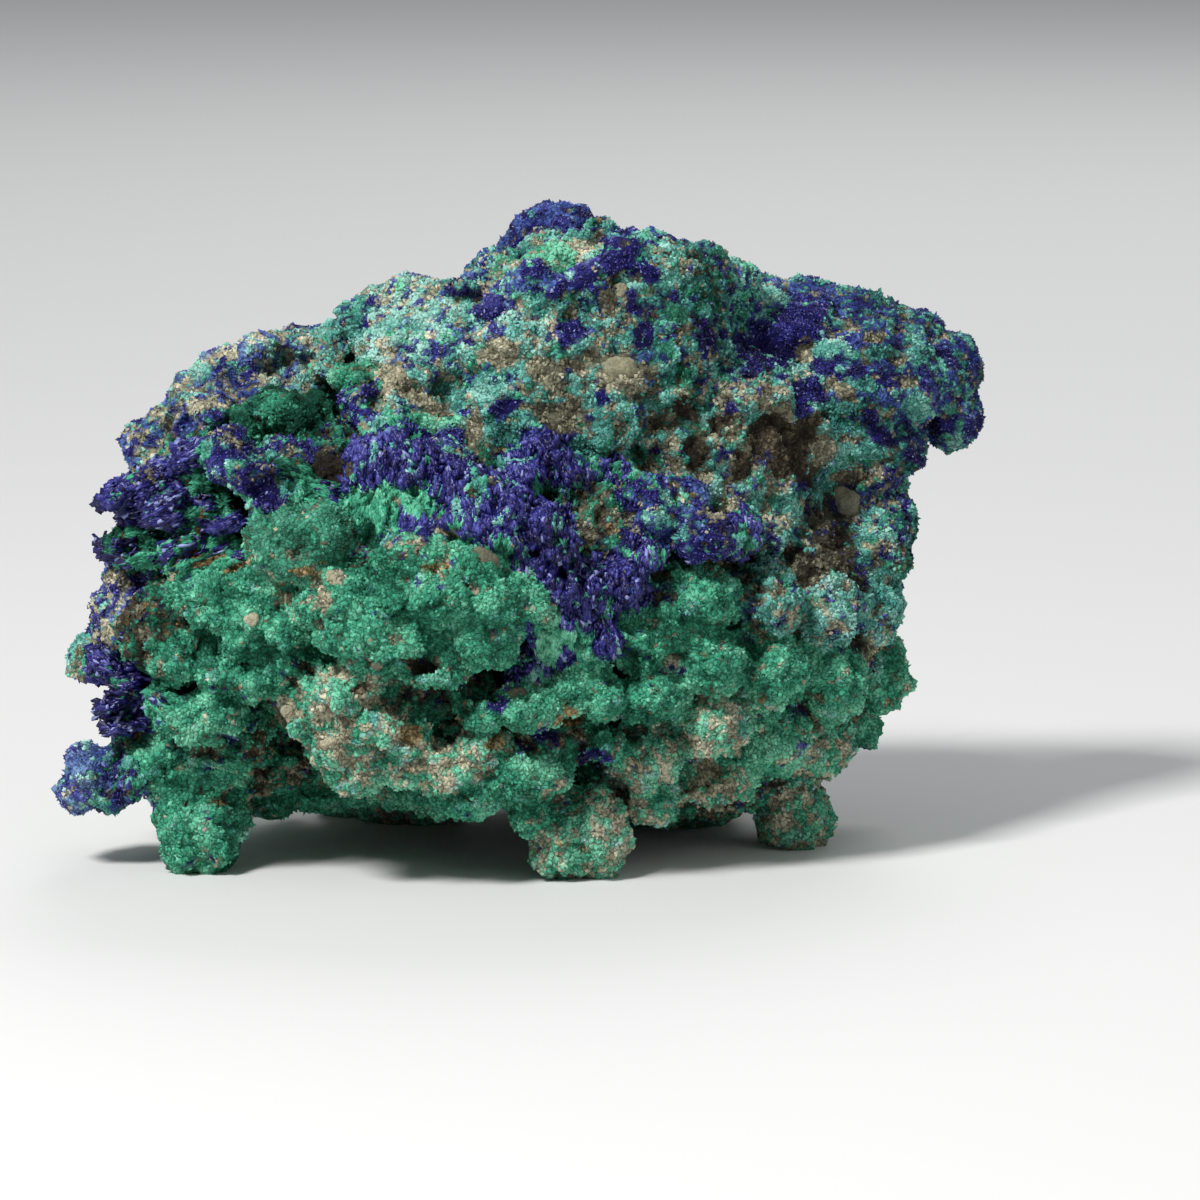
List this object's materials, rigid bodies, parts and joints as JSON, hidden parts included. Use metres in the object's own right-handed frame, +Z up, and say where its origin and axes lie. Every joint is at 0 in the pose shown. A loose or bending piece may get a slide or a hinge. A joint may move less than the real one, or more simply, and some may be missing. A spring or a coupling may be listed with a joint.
{
  "type": "azurite and malachite mineral specimen",
  "caption": "Hand-sized natural cluster of blue azurite and green malachite crusts over sandy rock, a display specimen that rests on its lowest lumps.",
  "frame": {"origin": "middle of the bounding box, on the surface that the specimen rests on", "axes": "+Z up as the specimen rests; +X along its length, to the right seen from the front; +Y from the front, the side with the azurite ridge, to the back"},
  "size_m": [0.0515, 0.0367, 0.0355],
  "materials": {
    "mineral_crust": "matt, velvety green malachite with glittering deep blue azurite ridges and sandy beige rock showing between them"
  },
  "bodies": {
    "root": {"azurite_specimen": "mineral_crust"}
  },
  "joints": []
}
